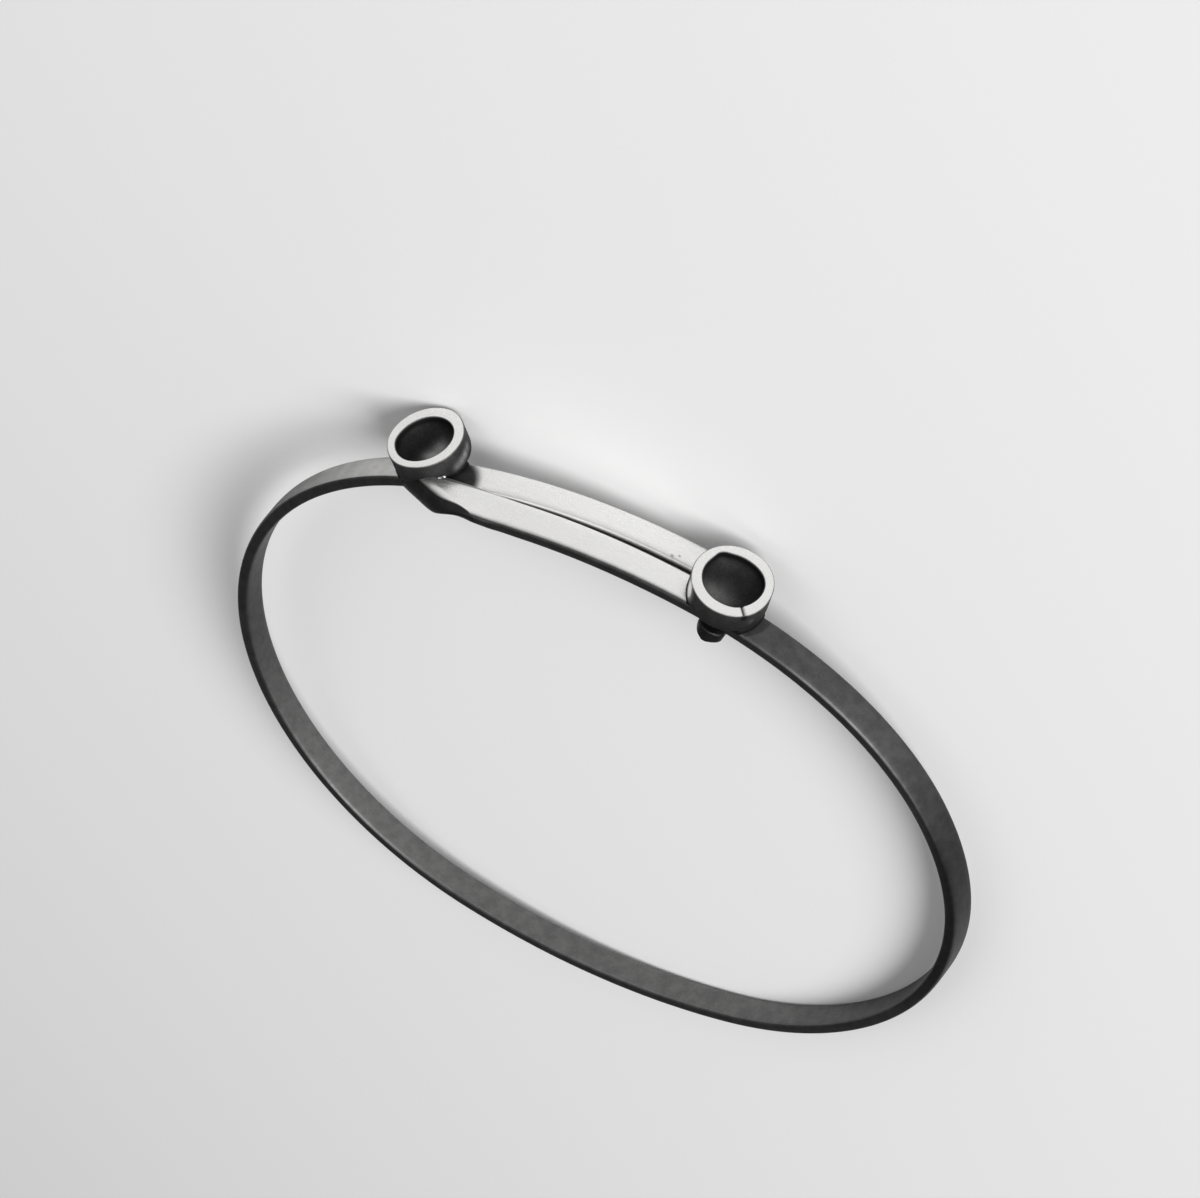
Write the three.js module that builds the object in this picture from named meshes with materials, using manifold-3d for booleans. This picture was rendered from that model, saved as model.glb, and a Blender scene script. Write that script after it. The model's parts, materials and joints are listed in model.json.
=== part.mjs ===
// An expanding silver bangle. One flat strip goes once round the wrist and then runs beside itself
// across the front. Each end of the strip is folded under its neighbour as a flat hook, and a small
// open cup is soldered onto the neighbour above each hook.
// Millimetres, +Z up. The bangle lies on its side as it rests on a table, with the front towards -Y.
import * as THREE from "three";
import { mergeVertices } from "three/addons/utils/BufferGeometryUtils.js";
import Module from "manifold-3d";

// ---- driving dimensions -------------------------------------------------------------------

// Oval of the strip's outer face, made of a flatter front and back arc and two rounder side arcs.
const HALF_WIDTH = 31;
const FRONT_RADIUS = 44;
const FRONT_HALF_ANGLE = THREE.MathUtils.degToRad(16);

// Strip: a soft rectangle, slightly crowned on its faces and rounded along its edges.
const STRIP = { width: 2.45, thickness: 1.0, softness: 5.5, sides: 16 };
const STRAND_GAP = 0.22;

// Hooks: where the strip's centre line starts to fold, measured from the middle of the front, the
// angle of the fold to the strip, and how far the tail runs on under the neighbour.
const HOOK_CLEARANCE = 0.3;
const LEFT_HOOK = { at: 8.75, angle: THREE.MathUtils.degToRad(28), tail: 3.2, width: 1.8 };
const RIGHT_HOOK = { at: 11.35, angle: THREE.MathUtils.degToRad(45), tail: 3.0, width: 2.25 };
const TIP_ROUNDNESS = 0.97;

// Cups: a short straight tube with a dished floor.
const CUP = { radius: 2.95, height: 1.76, boreRadius: 2.16, boreWall: 0.45, floor: 0.4, edge: 0.08 };
// Solder under a cup: how high it lifts the cup, how far it runs up into the cup and down into the
// strand, and how far it stays in from the strand's edges.
const SOLDER = { thickness: 0.14, rise: 0.05, sink: 0.35, inset: 0.06 };
// at: place of the cup along the front. aside: how far it sits off its own strand's centre line.
// lean and turn: how far it is tilted, in degrees. boreShift: how far its bore is off centre.
const LEFT_CUP = { at: 12.5, aside: -1.24, lean: 5.3, turn: -4, boreShift: [-0.02, 0.12] };
const RIGHT_CUP = { at: -12.67, aside: -0.98, lean: 0.2, turn: 3, boreShift: [0.06, -0.06] };
// Open seam in the right cup's rim, turned round the cup from its +X side.
const SEAM = { angle: 132, width: 0.2, depth: 0.4 };

// Attitude at rest, in degrees: the left cup's wall and the lower edge of the back lie on the table.
const REST = { pitch: -3.276, roll: -3.088 };

// Fineness of the facets.
const LOOP_STEPS = 96;
const FOLD_STEPS = 16;
const TAIL_STEPS = 7;
const SLANT_RUN = 6;
const CUP_SEGMENTS = 40;
const EDGE_STEPS = 3;
const DISH_STEPS = 5;

const SILVER = { color: 0xd6d5d2, roughness: 0.34, metalness: 1.0 };

// ---- the oval -----------------------------------------------------------------------------

const SIDE_RADIUS =
  (HALF_WIDTH - FRONT_RADIUS * Math.sin(FRONT_HALF_ANGLE)) / (1 - Math.sin(FRONT_HALF_ANGLE));
const HALF_DEPTH =
  FRONT_RADIUS * (1 - Math.cos(FRONT_HALF_ANGLE)) + SIDE_RADIUS * Math.cos(FRONT_HALF_ANGLE);
const FRONT_ARC = FRONT_RADIUS * FRONT_HALF_ANGLE;
const SIDE_ARC = SIDE_RADIUS * (Math.PI - 2 * FRONT_HALF_ANGLE);
const PERIMETER = 4 * FRONT_ARC + 2 * SIDE_ARC;

// Point and outward normal on the oval, at an arc length from the middle of the front towards +X.
function oval(arc) {
  const along = arc - PERIMETER * Math.round(arc / PERIMETER);
  const side = along < 0 ? -1 : 1;
  const run = Math.abs(along);
  let angle;
  let centre;
  let radius;
  if (run < FRONT_ARC) {
    angle = run / FRONT_RADIUS;
    centre = [0, FRONT_RADIUS - HALF_DEPTH];
    radius = FRONT_RADIUS;
  } else if (run < FRONT_ARC + SIDE_ARC) {
    angle = FRONT_HALF_ANGLE + (run - FRONT_ARC) / SIDE_RADIUS;
    centre = [(FRONT_RADIUS - SIDE_RADIUS) * Math.sin(FRONT_HALF_ANGLE), 0];
    radius = SIDE_RADIUS;
  } else {
    angle = Math.PI - (PERIMETER / 2 - run) / FRONT_RADIUS;
    centre = [0, HALF_DEPTH - FRONT_RADIUS];
    radius = FRONT_RADIUS;
  }
  const normal = new THREE.Vector3(side * Math.sin(angle), -Math.cos(angle), 0);
  const point = new THREE.Vector3(side * centre[0], centre[1], 0).addScaledVector(normal, radius);
  return { point, normal };
}

// Space point for a place on the strip's own surface: arc length, height and depth below the face.
function onOval(arc, height, depth) {
  const { point, normal } = oval(arc);
  return point.addScaledVector(normal, -depth).setZ(height);
}

// The strip climbs by one strip and one gap in each turn, so that it passes beside itself in front.
const PITCH = STRIP.width + STRAND_GAP;
const strandHeight = (arc) => PITCH * (0.5 + arc / PERIMETER);

// ---- the strip ----------------------------------------------------------------------------

const MID = STRIP.thickness / 2;
const FOLD_RADIUS = (STRIP.thickness + HOOK_CLEARANCE) / 2;
const FOLD_LENGTH = Math.PI * FOLD_RADIUS;

// A fold starts on a line that crosses the strip at an angle. heading is the way the strip runs
// into it along the oval, and the tail leaves on the side of the neighbouring strand.
function makeFold(arc, heading, hook) {
  const sin = Math.sin(hook.angle);
  const cos = Math.cos(hook.angle);
  return {
    arc,
    heading,
    height: strandHeight(arc),
    along: [heading * cos, -heading * sin],
    across: [heading * sin, heading * cos],
    bend: FOLD_LENGTH / sin,
    length: FOLD_LENGTH / sin + hook.tail,
    slant: cos / sin,
    tip: hook.width / 2,
  };
}
const LEFT_FOLD = makeFold(LEFT_HOOK.at, 1, LEFT_HOOK);
const RIGHT_FOLD = makeFold(-PERIMETER - RIGHT_HOOK.at, -1, RIGHT_HOOK);

// Rolls a point of the flat strip round a fold: flat, then half a turn of cylinder, then flat below.
// A point that isn't within a quarter turn of the fold belongs to the other end and stays put.
function roll(fold, arc, height, depth) {
  const da = arc - fold.arc;
  const dh = height - fold.height;
  const past = da * fold.across[0] + dh * fold.across[1];
  if (past <= 0 || Math.abs(da) > PERIMETER / 4) return [arc, height, depth];
  const beside = da * fold.along[0] + dh * fold.along[1];
  const radius = FOLD_RADIUS + MID - depth;
  const angle = Math.min(past, FOLD_LENGTH) / FOLD_RADIUS;
  const out = radius * Math.sin(angle) - Math.max(past - FOLD_LENGTH, 0);
  return [
    fold.arc + beside * fold.along[0] + out * fold.across[0],
    fold.height + beside * fold.along[1] + out * fold.across[1],
    MID + FOLD_RADIUS - radius * Math.cos(angle),
  ];
}

// Soft rectangle by the superellipse formula. x runs across the strip, y through it.
function stripSection() {
  const soft = (value, half) => Math.sign(value) * half * Math.abs(value) ** (2 / STRIP.softness);
  const points = [];
  for (let i = 0; i < STRIP.sides; i++) {
    const angle = (2 * Math.PI * i) / STRIP.sides;
    points.push(new THREE.Vector2(soft(Math.cos(angle), 1), soft(Math.sin(angle), MID)));
  }
  return new THREE.Shape(points);
}

// Slant of a station on the flat strip, which grows from nothing as the strip nears a fold.
function slantNear(fold, arc) {
  const near = SLANT_RUN - Math.abs(arc - fold.arc);
  return fold.slant * THREE.MathUtils.smoothstep(near, 0, SLANT_RUN);
}

// Stations along the strip, from the left hook's tip to the right hook's tip. Each holds the arc
// length on the oval as if the strip were not folded, the half width there, which rounds off at the
// tips, and how far the station is slanted so that through a fold it runs along the fold.
function stations() {
  const half = STRIP.width / 2;
  const tail = (fold, distance, slanted) => {
    const left = fold.length - distance;
    const taper = THREE.MathUtils.lerp(half, fold.tip, Math.min(distance / fold.bend, 1));
    const nose = Math.max(0, 1 - left / fold.tip) * TIP_ROUNDNESS;
    const width = taper * Math.sqrt(1 - nose * nose);
    return { arc: fold.arc + fold.heading * distance, half: width, slant: slanted * fold.slant };
  };
  const end = (fold) => {
    const rows = [];
    for (let i = 1; i <= FOLD_STEPS; i++) rows.push(tail(fold, (fold.bend * i) / FOLD_STEPS, 1));
    for (let i = 1; i <= TAIL_STEPS; i++) {
      const reach = Math.sin((Math.PI / 2) * (i / TAIL_STEPS));
      rows.push(tail(fold, THREE.MathUtils.lerp(fold.bend, fold.length, reach), 1 - reach));
    }
    return rows;
  };
  const loop = [];
  for (let i = 0; i <= LOOP_STEPS; i++) {
    const arc = THREE.MathUtils.lerp(LEFT_FOLD.arc, RIGHT_FOLD.arc, i / LOOP_STEPS);
    loop.push({ arc, half, slant: slantNear(LEFT_FOLD, arc) + slantNear(RIGHT_FOLD, arc) });
  }
  return [...end(LEFT_FOLD).reverse(), ...loop, ...end(RIGHT_FOLD)];
}

function makeStrip() {
  const rows = stations();
  const steps = rows.length - 1;
  const geometry = new THREE.ExtrudeGeometry(stripSection(), {
    depth: 1,
    steps,
    bevelEnabled: false,
  });
  const position = geometry.getAttribute("position");
  for (let i = 0; i < position.count; i++) {
    const row = rows[Math.round(position.getZ(i) * steps)];
    const aside = row.half * position.getX(i);
    let place = [row.arc + aside * row.slant, strandHeight(row.arc) - aside, MID - position.getY(i)];
    place = roll(LEFT_FOLD, ...place);
    place = roll(RIGHT_FOLD, ...place);
    const { x, y, z } = onOval(...place);
    position.setXYZ(i, x, y, z);
  }
  return geometry;
}

// ---- the cups -----------------------------------------------------------------------------

// Quarter round from one profile point to the next, for a soft edge.
function quarter(centre, radius, from) {
  const points = [];
  for (let i = 0; i <= EDGE_STEPS; i++) {
    const angle = from + ((Math.PI / 2) * i) / EDGE_STEPS;
    points.push(
      new THREE.Vector2(centre[0] + radius * Math.cos(angle), centre[1] + radius * Math.sin(angle)),
    );
  }
  return points;
}

function cupBody() {
  const { radius, height, edge } = CUP;
  const profile = [
    new THREE.Vector2(0, 0),
    new THREE.Vector2(radius, 0),
    ...quarter([radius - edge, height - edge], edge, 0),
    new THREE.Vector2(0, height),
  ];
  return new THREE.LatheGeometry(profile, CUP_SEGMENTS);
}

// Straight wall below the rim, then a dish that is deepest in the middle.
function cupBore() {
  const { boreRadius, boreWall, height, floor } = CUP;
  const dishDepth = height - boreWall - floor;
  const mouth = height + dishDepth;
  const profile = [];
  for (let i = 0; i <= DISH_STEPS; i++) {
    const angle = (Math.PI / 2) * (i / DISH_STEPS);
    const rise = floor + dishDepth * (1 - Math.cos(angle));
    profile.push(new THREE.Vector2(boreRadius * Math.sin(angle), rise));
  }
  profile.push(new THREE.Vector2(boreRadius, mouth), new THREE.Vector2(0, mouth));
  return new THREE.LatheGeometry(profile, CUP_SEGMENTS);
}

// Solder bed: a disc under the cup, kept to the width of the strand that carries it.
function solderBed() {
  const depth = SOLDER.rise + SOLDER.thickness + SOLDER.sink;
  return new THREE.CylinderGeometry(CUP.radius - SOLDER.inset, CUP.radius, depth, CUP_SEGMENTS);
}

function solderLimit() {
  return new THREE.BoxGeometry(3 * CUP.radius, 3 * CUP.radius, STRIP.width - 2 * SOLDER.inset);
}

function seamCutter() {
  const reach = 2 * CUP.radius;
  const cutter = new THREE.BoxGeometry(reach, 2 * SEAM.depth, SEAM.width);
  return cutter.translate(reach / 2 + CUP.boreRadius / 2, CUP.height, 0);
}

// ---- joining ------------------------------------------------------------------------------

const wasm = await Module();
wasm.setup();

function toSolid(geometry, matrix = new THREE.Matrix4()) {
  const bare = geometry.clone().applyMatrix4(matrix);
  bare.deleteAttribute("normal");
  bare.deleteAttribute("uv");
  const merged = mergeVertices(bare, 1e-5);
  return new wasm.Manifold(
    new wasm.Mesh({
      numProp: 3,
      vertProperties: merged.getAttribute("position").array,
      triVerts: new Uint32Array(merged.index.array),
    }),
  );
}

function toGeometry(solid) {
  const mesh = solid.getMesh();
  const geometry = new THREE.BufferGeometry();
  geometry.setAttribute("position", new THREE.BufferAttribute(mesh.vertProperties, 3));
  geometry.setIndex(new THREE.BufferAttribute(mesh.triVerts, 1));
  geometry.computeVertexNormals();
  return geometry;
}

// Frame of a cup: origin where its own strand's centre line passes, Y outward along the cup's axis,
// X along the strand towards +X, and Z across the strand. Lean tips it about X and turn about Z.
function seat(arc, height, cup) {
  const { point, normal } = oval(arc);
  const up = new THREE.Vector3(0, 0, 1);
  const along = new THREE.Vector3().crossVectors(normal, up).negate();
  const frame = new THREE.Matrix4().makeBasis(along, normal, up.clone().negate());
  frame.setPosition(point.setZ(height));
  return frame.multiply(tilted(cup));
}

function tilted(cup) {
  const lean = new THREE.Matrix4().makeRotationX(THREE.MathUtils.degToRad(-cup.lean));
  const turn = new THREE.Matrix4().makeRotationZ(THREE.MathUtils.degToRad(-cup.turn));
  return lean.multiply(turn);
}

function makeCup(height, cup, hasSeam) {
  const frame = seat(cup.at, height, cup);
  const shift = (x, y, z) => frame.clone().multiply(new THREE.Matrix4().makeTranslation(x, y, z));
  const base = shift(0, SOLDER.thickness, -cup.aside);
  const [boreX, boreZ] = cup.boreShift;
  const bore = shift(boreX, SOLDER.thickness, -cup.aside - boreZ);
  const bed = shift(0, (SOLDER.rise + SOLDER.thickness - SOLDER.sink) / 2, -cup.aside);
  let solid = toSolid(cupBody(), base).subtract(toSolid(cupBore(), bore));
  if (hasSeam) {
    const spin = new THREE.Matrix4().makeRotationY(THREE.MathUtils.degToRad(SEAM.angle));
    solid = solid.subtract(toSolid(seamCutter(), base.clone().multiply(spin)));
  }
  return solid.add(toSolid(solderBed(), bed).intersect(toSolid(solderLimit(), frame)));
}

// ---- the bangle ---------------------------------------------------------------------------

const leftCup = makeCup(strandHeight(LEFT_CUP.at - PERIMETER), LEFT_CUP, false);
const rightCup = makeCup(strandHeight(RIGHT_CUP.at), RIGHT_CUP, true);
const bangle = toSolid(makeStrip()).add(leftCup).add(rightCup);

const mesh = new THREE.Mesh(toGeometry(bangle), new THREE.MeshStandardMaterial(SILVER));
mesh.name = "soldered_bangle";

// Tip the bangle into its attitude at rest, then stand it on the table over the origin.
const tipped = new THREE.Group();
tipped.rotation.set(THREE.MathUtils.degToRad(REST.pitch), THREE.MathUtils.degToRad(REST.roll), 0);
tipped.add(mesh);
const box = new THREE.Box3().setFromObject(tipped, true);
const middle = box.getCenter(new THREE.Vector3());

const group = new THREE.Group();
group.name = "bangle";
group.position.set(-middle.x, -middle.y, -box.min.z);
group.add(tipped);

export default group;
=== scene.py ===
"""An expanding silver bangle lying on its side on a pale table.

One flat strip goes once round the wrist and then runs beside itself across the front. Each end of
the strip is folded under its neighbour as a flat hook, and a small open cup is soldered onto the
neighbour above each hook. The bangle is made level, with its front towards -Y and Z through the
wrist, and is then tipped a little to rest on the table. Lengths are in millimetres until a piece is
placed, and then in metres.
"""

from __future__ import annotations

import json
import logging
import math
from dataclasses import dataclass, field
from enum import Enum

import bmesh
import bpy
from mathutils import Matrix, Vector, noise

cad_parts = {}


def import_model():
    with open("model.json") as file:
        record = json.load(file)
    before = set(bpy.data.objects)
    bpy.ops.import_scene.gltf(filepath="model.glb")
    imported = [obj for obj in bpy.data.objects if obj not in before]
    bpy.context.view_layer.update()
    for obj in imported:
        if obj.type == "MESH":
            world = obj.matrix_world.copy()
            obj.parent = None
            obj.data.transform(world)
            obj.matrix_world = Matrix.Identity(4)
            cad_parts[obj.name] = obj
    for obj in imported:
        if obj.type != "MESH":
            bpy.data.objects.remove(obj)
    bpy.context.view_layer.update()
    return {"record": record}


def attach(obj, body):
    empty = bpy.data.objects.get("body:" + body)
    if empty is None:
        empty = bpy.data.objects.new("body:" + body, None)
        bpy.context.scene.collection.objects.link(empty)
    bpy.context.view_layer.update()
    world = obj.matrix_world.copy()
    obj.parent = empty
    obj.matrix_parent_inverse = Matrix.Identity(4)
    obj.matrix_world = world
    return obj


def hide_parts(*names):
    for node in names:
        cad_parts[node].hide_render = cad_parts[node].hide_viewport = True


LOG = logging.getLogger("bangle")
MM = 0.001
CAD_NODE = "soldered_bangle"
BODY = "root"
STRIP_ATTRIBUTE = "strip_place"
# Stored darkness of cups and solder: blackening, lightened where highlights are painted, and painted
# shade on the beds.
SOOT_AND_PAINTED_LIGHT_ATTRIBUTE = "soot"

Socket = bpy.types.NodeSocket
Colour = tuple[float, float, float]


class End(Enum):
    """The two ends of the strip, each with the way the strip runs into it along the oval."""

    LEFT = 1
    RIGHT = -1

    @property
    def label(self) -> str:
        """Name of the end in the names of the strip's sizes."""
        return self.name.title()


# ---- shapes that the pieces share ---------------------------------------------------------


@dataclass(frozen=True)
class Oval:
    """Oval of the strip's outer face: a flatter front and back arc and two rounder side arcs."""

    half_width: float = 31.0
    front_radius: float = 44.0
    front_angle: float = math.radians(16)

    @property
    def side_radius(self) -> float:
        """Radius of the two side arcs."""
        sine = math.sin(self.front_angle)
        return (self.half_width - self.front_radius * sine) / (1 - sine)

    @property
    def half_depth(self) -> float:
        """Distance from the middle of the oval to its front."""
        cosine = math.cos(self.front_angle)
        return self.front_radius * (1 - cosine) + self.side_radius * cosine

    @property
    def front_arc(self) -> float:
        """Length of the front arc on one side of the middle."""
        return self.front_radius * self.front_angle

    @property
    def side_arc(self) -> float:
        """Length of one side arc."""
        return self.side_radius * (math.pi - 2 * self.front_angle)

    @property
    def perimeter(self) -> float:
        """Length once round."""
        return 4 * self.front_arc + 2 * self.side_arc

    def front_place(self, arc: float) -> tuple[Vector, Vector]:
        """Finds a place on the front half of the oval.

        Args:
            arc: Arc length from the middle of the front, positive towards +X.

        Returns:
            The point on the oval and the outward normal there.
        """
        run = abs(arc)
        angle = min(run, self.front_arc) / self.front_radius
        turn = angle + max(run - self.front_arc, 0.0) / self.side_radius
        side = math.copysign(1.0, arc)
        bend = Vector((math.sin(angle), -math.cos(angle), 0.0))
        normal = Vector((math.sin(turn), -math.cos(turn), 0.0))
        point = Vector((0.0, self.front_radius - self.half_depth, 0.0))
        point += (self.front_radius - self.side_radius) * bend + self.side_radius * normal
        return Vector((side * point.x, point.y, 0.0)), Vector((side * normal.x, normal.y, 0.0))


@dataclass(frozen=True)
class Hook:
    """A fold at one end of the strip.

    Attributes:
        end: Which end of the strip this is.
        at: Distance from the middle of the front to where the centre line starts to fold.
        angle: Angle of the fold to the strip, in radians.
        tail: How far the strip runs on under its neighbour.
        width: Width of the rounded tip.
        radius: Radius of the fold at the middle of the strip's thickness.
    """

    end: End
    at: float
    angle: float
    tail: float
    width: float
    radius: float

    @property
    def bend(self) -> float:
        """Length of strip that the half turn takes up, along the strip."""
        return math.pi * self.radius / math.sin(self.angle)

    def arc(self, oval: Oval) -> float:
        """Arc length at which the fold starts, counted along the strip from the front's middle."""
        return self.at if self.end is End.LEFT else -oval.perimeter - self.at


@dataclass(frozen=True)
class Attitude:
    """Turn and shift that lay the level bangle down as it rests in the frame.

    Attributes:
        turn: Rotation from the level bangle to the resting one.
        shift: Move after the turn, in millimetres.
    """

    turn: Matrix
    shift: Vector

    @classmethod
    def from_mount(cls, pitch: float, roll: float, level: Vector, resting: Vector) -> Attitude:
        """Works the shift out from one point whose place in the frame is known.

        Args:
            pitch: Rotation about X, in degrees.
            roll: Rotation about Y, made before the pitch, in degrees.
            level: The point on the level bangle, in millimetres.
            resting: The same point in the frame, in millimetres.

        Returns:
            The attitude that takes the first point to the second.
        """
        turn = Matrix.Rotation(math.radians(pitch), 4, "X") @ Matrix.Rotation(math.radians(roll), 4, "Y")
        return cls(turn=turn, shift=resting - turn @ level)

    @property
    def to_frame(self) -> Matrix:
        """Matrix from the level bangle in millimetres to the frame in metres."""
        return Matrix.Scale(MM, 4) @ Matrix.Translation(self.shift) @ self.turn


@dataclass(frozen=True)
class Section:
    """Soft rectangle that the strip is swept from.

    Attributes:
        width: Width of the strip.
        thickness: Thickness of the strip.
        softness: Power of its outline: 2 is an ellipse, and a high power is a sharp rectangle.
        sides: Points round the outline.
    """

    width: float = 2.45
    thickness: float = 1.0
    softness: float = 4.6
    sides: int = 44


def placed_piece(name: str, mesh: bpy.types.Mesh, finish: bpy.types.Material) -> bpy.types.Object:
    """Links a finished mesh as a piece that rides on the bangle and wears its material.

    Args:
        name: Name of the piece.
        mesh: Its mesh, already in the frame.
        finish: Its material.

    Returns:
        The piece.
    """
    piece = bpy.data.objects.new(name, mesh)
    bpy.context.scene.collection.objects.link(piece)
    mesh.materials.clear()
    mesh.materials.append(finish)
    mesh.polygons.foreach_set("use_smooth", [True] * len(mesh.polygons))
    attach(piece, BODY)
    LOG.info("%s: %d faces", name, len(mesh.polygons))
    return piece


# ---- the strip ----------------------------------------------------------------------------


class Field:
    """A number in a Geometry Nodes tree, written in sums as if it were a plain number."""

    def __init__(self, tree: bpy.types.NodeTree, socket: Socket) -> None:
        """Keeps the tree and the output socket that carries the number."""
        self.tree = tree
        self.socket = socket

    def math(self, operation: str, *others: Field | float) -> Field:
        """Adds a Math node that takes this number first.

        Args:
            operation: Name of the node's operation.
            *others: Its other operands.

        Returns:
            The node's result.
        """
        node = self.tree.nodes.new("ShaderNodeMath")
        node.operation = operation
        self.tree.links.new(self.socket, node.inputs[0])
        for place, value in enumerate(others, start=1):
            if isinstance(value, Field):
                self.tree.links.new(value.socket, node.inputs[place])
            else:
                node.inputs[place].default_value = value
        return Field(self.tree, node.outputs[0])

    def __add__(self, other: Field | float) -> Field:
        """Sum of two numbers."""
        return self.math("ADD", other)

    def __sub__(self, other: Field | float) -> Field:
        """Difference of two numbers."""
        return self.math("SUBTRACT", other)

    def __mul__(self, other: Field | float) -> Field:
        """Product of two numbers."""
        return self.math("MULTIPLY", other)

    def __truediv__(self, other: Field | float) -> Field:
        """Quotient of two numbers."""
        return self.math("DIVIDE", other)

    def __neg__(self) -> Field:
        """The number with its sign changed."""
        return self.math("MULTIPLY", -1.0)

    def at_least(self, floor: Field | float) -> Field:
        """The larger of this number and another."""
        return self.math("MAXIMUM", floor)

    def at_most(self, ceiling: Field | float) -> Field:
        """The smaller of this number and another."""
        return self.math("MINIMUM", ceiling)

    def within(self, low: float, high: Field | float) -> Field:
        """The number kept between two others."""
        return self.at_least(low).at_most(high)

    def sine(self) -> Field:
        """Sine of an angle in radians."""
        return self.math("SINE")

    def cosine(self) -> Field:
        """Cosine of an angle in radians."""
        return self.math("COSINE")

    def eased(self) -> Field:
        """Smooth step from 0 to 1 as the number goes from 0 to 1."""
        held = self.within(0.0, 1.0)
        return held * held * (held * -2.0 + 3.0)


Place = tuple[Field, Field, Field]


@dataclass
class Strip:
    """The one long strip, from the left hook's tip round the wrist to the right hook's tip.

    Arc length is counted along the strip from the front's middle. It grows towards the left hook,
    and falls towards the right cup, the back and at last the right hook.

    Attributes:
        oval: Oval of the outer face.
        section: Soft rectangle that is swept.
        left: Hook at the left end.
        right: Hook at the right end.
        gap: Open gap between the two strands of the front.
        tip_roundness: How nearly each tip is a full half circle, from 0 to 1.
        slant_run: Length of flat strip over which the cross rows turn to follow a fold.
        twist: Turn of the face at each end, in degrees.
        twist_run: Length over which the turn dies away.
        lift: How far the left end stands off the oval.
        lift_run: Length over which the lift dies away.
        curl: How much further it stands off right at the fold.
        curl_run: Length over which the curl dies away.
        slide: How far the left end leans towards its neighbour.
        slide_run: Length over which it does so.
        flare: How far the left end's edge is hammered out towards its neighbour.
        flare_away: How far its other edge is hammered out.
        flare_run: Length over which both grow.
        side_turn: Turn of the face on the side of the wrist past the right cup, in degrees.
        side_swell: How far the strip stands out there.
        swell_from: Distance from the front's middle at which that turn and swell begin.
        swell_rise: Length over which they grow.
        swell_until: Distance from the front's middle at which they begin to fade.
        swell_fall: Length over which they fade.
        rows: Number of cross rows.
        numbers: Sizes as the tree's own numbers, set while the tree is built.
    """

    oval: Oval
    section: Section
    left: Hook
    right: Hook
    gap: float = 0.22
    tip_roundness: float = 0.97
    slant_run: float = 6.0
    twist: float = 7.0
    twist_run: float = 24.0
    lift: float = 0.22
    lift_run: float = 18.0
    curl: float = 0.3
    curl_run: float = 4.5
    slide: float = 0.24
    slide_run: float = 7.0
    flare: float = 0.45
    flare_away: float = 0.25
    flare_run: float = 5.5
    side_turn: float = 9.0
    side_swell: float = 0.4
    swell_from: float = 12.0
    swell_rise: float = 22.0
    swell_until: float = 44.0
    swell_fall: float = 26.0
    rows: int = 1150
    numbers: dict[str, Field] = field(default_factory=dict, repr=False)

    @property
    def pitch(self) -> float:
        """Distance between the centre lines of the two front strands."""
        return self.section.width + self.gap

    def centre_height(self, arc: float) -> float:
        """Height of the strip's centre line at an arc length."""
        return self.pitch * (0.5 + arc / self.oval.perimeter)

    def sizes(self) -> dict[str, float]:
        """Collects every size the tree takes.

        Returns:
            The sizes, each under the name of the tree's input.
        """
        ovals = ("perimeter", "half_depth", "front_radius", "side_radius", "front_arc", "side_arc")
        ends = ("tip_roundness", "slant_run", "twist_run", "lift", "lift_run", "curl", "curl_run")
        ends += ("slide", "slide_run", "flare", "flare_away", "flare_run")
        swells = ("side_swell", "swell_from", "swell_rise", "swell_until", "swell_fall")
        sizes = {"Twist": math.radians(self.twist), "Side Turn": math.radians(self.side_turn)}
        for owner, names in (
            (self.section, ("width", "thickness", "softness")),
            (self.oval, ovals),
            (self, ("pitch", *ends, *swells)),
        ):
            for name in names:
                sizes[name.replace("_", " ").title()] = getattr(owner, name)
        for hook in (self.left, self.right):
            label = hook.end.label
            sizes[f"{label} Fold Arc"] = hook.arc(self.oval)
            sizes[f"{label} Fold Height"] = self.centre_height(hook.arc(self.oval))
            sizes[f"{label} Fold Radius"] = hook.radius
            sizes[f"{label} Bend"] = hook.bend
            sizes[f"{label} Tail"] = hook.tail
            sizes[f"{label} Tip"] = hook.width / 2
            sizes[f"{label} Angle"] = hook.angle
        return sizes

    def size_at(self, end: End, name: str) -> Field:
        """One of the sizes of the fold at an end, as the tree's number."""
        return self.numbers[f"{end.label} {name}"]

    def centre_line(self, arc: Field) -> Field:
        """Height of the strip's centre line at an arc length, as the tree's number."""
        return (arc / self.numbers["Perimeter"] + 0.5) * self.numbers["Pitch"]

    def past_fold(self, end: End, arc: Field) -> Field:
        """Distance along the strip beyond the start of a fold, negative before it."""
        beyond = arc - self.size_at(end, "Fold Arc")
        return beyond if end is End.LEFT else -beyond

    def half_width(self, arc: Field) -> Field:
        """Half width of the strip, which narrows through each fold and rounds off at each tip.

        Args:
            arc: Arc length along the strip.

        Returns:
            The half width there.
        """
        half = self.numbers["Width"] * 0.5
        for end in End:
            bend = self.size_at(end, "Bend")
            tail = self.size_at(end, "Tail")
            tip = self.size_at(end, "Tip")
            beyond = self.past_fold(end, arc)
            narrowed = (beyond / bend).within(0.0, 1.0)
            half = half + (tip - half) * narrowed
            nose = (-((bend + tail - beyond) / tip) + 1.0).at_least(0.0)
            nose = nose * self.numbers["Tip Roundness"]
            half = half * (-(nose * nose) + 1.0).math("SQRT")
        return half

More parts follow.
